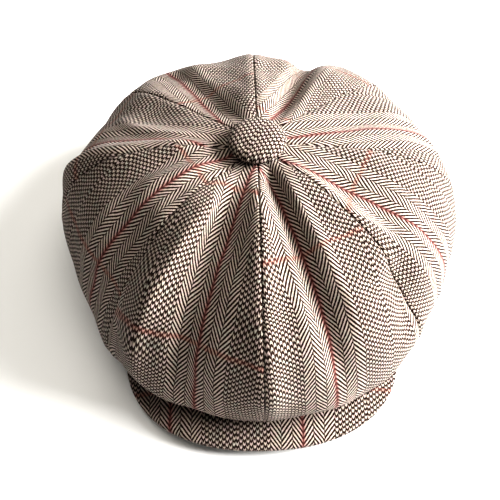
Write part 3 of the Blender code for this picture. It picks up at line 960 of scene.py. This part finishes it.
# The darker and the lighter tone of each plain finish.
finishColours = dict(
    buckram=((0.045, 0.036, 0.032, 1.0), (0.080, 0.066, 0.058, 1.0)),
    web=((0.70, 0.68, 0.63, 1.0), (0.82, 0.80, 0.76, 1.0)),
    steel=((0.55, 0.55, 0.56, 1.0), (0.66, 0.66, 0.67, 1.0)),
    satin=((0.030, 0.022, 0.022, 1.0), (0.075, 0.055, 0.055, 1.0)),
    twill=((0.035, 0.028, 0.026, 1.0), (0.085, 0.070, 0.065, 1.0)),
    thread=((0.10, 0.085, 0.08, 1.0), (0.16, 0.14, 0.13, 1.0)),
    board=((0.72, 0.72, 0.69, 1.0), (0.82, 0.82, 0.80, 1.0)),
)


# Better finishes for the parts taken over from the frame.
def finishFrameNodes(group):
    buckram = grainMaterial("buckramFinish", finishColours["buckram"], 0.85, 0.0, group, 1500.0, 0.2 * mm)
    web = grainMaterial("elasticFinish", finishColours["web"], 0.75, 0.0, group, 1200.0, 0.2 * mm)
    steel = grainMaterial("platedSteel", finishColours["steel"], 0.36, 1.0, group, 500.0, 0.02 * mm)
    finishes = dict(
        band_stiffener=buckram,
        back_elastic=web,
        button_shell=steel,
        button_shank=steel,
        button_washer=steel,
    )
    for name, finish in finishes.items():
        for slot in bpy.data.objects[name].material_slots:
            slot.material = finish
    print("finishes:", len(finishes), "parts taken over from the frame")


cameraLook = dict(
    elevation=55.0,         # degrees above the floor
    distance=0.62,
    lens=60.8,
    sensor=36.0,
    aimX=-0.0062,
    aimY=0.0,
    roll=-1.5,              # degrees
)


# A camera above and in front of the cap, looking down at it.
def buildCamera():
    look = cameraLook
    data = bpy.data.cameras.new("camera")
    data.lens = look["lens"]
    data.sensor_width = look["sensor"]
    camera = bpy.data.objects.new("camera", data)
    bpy.context.scene.collection.objects.link(camera)
    tilt = math.radians(look["elevation"])
    camera.location = (
        look["aimX"],
        look["aimY"] - look["distance"] * math.cos(tilt),
        look["distance"] * math.sin(tilt),
    )
    camera.rotation_euler = (math.radians(90.0) - tilt, 0.0, 0.0)
    camera.rotation_euler.rotate_axis("Z", math.radians(look["roll"]))
    bpy.context.scene.camera = camera
    print("camera")


stageLook = dict(
    half=4.0,               # half the floor's side
    floor=(0.93, 0.935, 0.93, 1.0),
    roughness=0.7,
    surround=(1.0, 0.95, 0.87, 1.0),
    surroundStrength=0.035,
)


def buildStage():
    half = stageLook["half"]
    material, desk, shader = newMaterial("paleFloor", stageLook["roughness"])
    shader.inputs["Base Color"].default_value = stageLook["floor"]
    corners = np.array([(-half, -half, 0.0), (half, -half, 0.0), (half, half, 0.0), (-half, half, 0.0)])
    floor = makeMesh("floor", corners, np.array([[0, 1, 2, 3]]), material)
    print("floor")


# Soft rectangular lights: where each stands, what it points at, its size, power and colour.
lights = dict(
    window=((1.40, 0.08, 0.76), (0.0, 0.0, 0.03), (1.2, 0.9), 124.0, (1.0, 0.99, 0.985)),
    ceiling=((0.0, 0.55, 1.9), (0.0, 0.0, 0.0), (2.4, 2.0), 30.0, (1.0, 0.965, 0.90)),
    room=((-0.2, -1.6, 1.2), (0.0, -0.05, 0.0), (1.6, 1.2), 4.0, (1.0, 0.985, 0.96)),
)


def addArea(name, place, aim, size, power, colour):
    data = bpy.data.lights.new(name, "AREA")
    data.shape = "RECTANGLE"
    data.size, data.size_y = size
    data.energy = power
    data.color = colour
    lamp = bpy.data.objects.new(name, data)
    bpy.context.scene.collection.objects.link(lamp)
    lamp.location = place
    direction = np.array(aim) - np.array(place)
    flat = math.hypot(direction[0], direction[1])
    turn = math.atan2(direction[1], direction[0]) - math.pi / 2.0
    lamp.rotation_euler = (math.atan2(flat, -direction[2]), 0.0, turn)


def buildLight():
    world = bpy.data.worlds.new("studio")
    bpy.context.scene.world = world
    world.use_nodes = True
    background = world.node_tree.nodes["Background"]
    background.inputs["Color"].default_value = stageLook["surround"]
    background.inputs["Strength"].default_value = stageLook["surroundStrength"]
    for name, settings in lights.items():
        addArea(name, *settings)
    bpy.context.scene.view_settings.view_transform = "Standard"
    bpy.context.scene.view_settings.look = "High Contrast"
    print("light:", len(lights), "soft lights")


# Place of the orange weft line on the cloth map and its repeat, in mm.
weftLines = dict(
    band=(12.0, 90.0),
    visor=(122.0, 90.0),
    button=(60.0, 400.0),
)

buildCamera()
buildStage()
buildLight()
tweed = tweedGroup()
grain = finishGroup()
buildCrown(tweed)
satin = ribbedMaterial("satinFinish", finishColours["satin"], 0.38, (0.6, 0.5 * mm), depth=0.04 * mm)
twill = ribbedMaterial("twillFinish", finishColours["twill"], 0.8, (1.0, 0.9 * mm), sheen=0.1)
thread = grainMaterial("threadFinish", finishColours["thread"], 0.7, 0.0, grain, 3000.0, 0.1 * mm)
boardPlastic = grainMaterial("boardPlastic", finishColours["board"], 0.5, 0.0, grain, 400.0, 0.05 * mm)
buildLining(satin)
buildBand(tweedMaterial("tweedBand", tweed, *weftLines["band"]), twill, thread)
buildVisor(tweedMaterial("tweedVisor", tweed, *weftLines["visor"]), boardPlastic)
buildButton(tweedMaterial("tweedButton", tweed, *weftLines["button"]))
finishFrameNodes(grain)
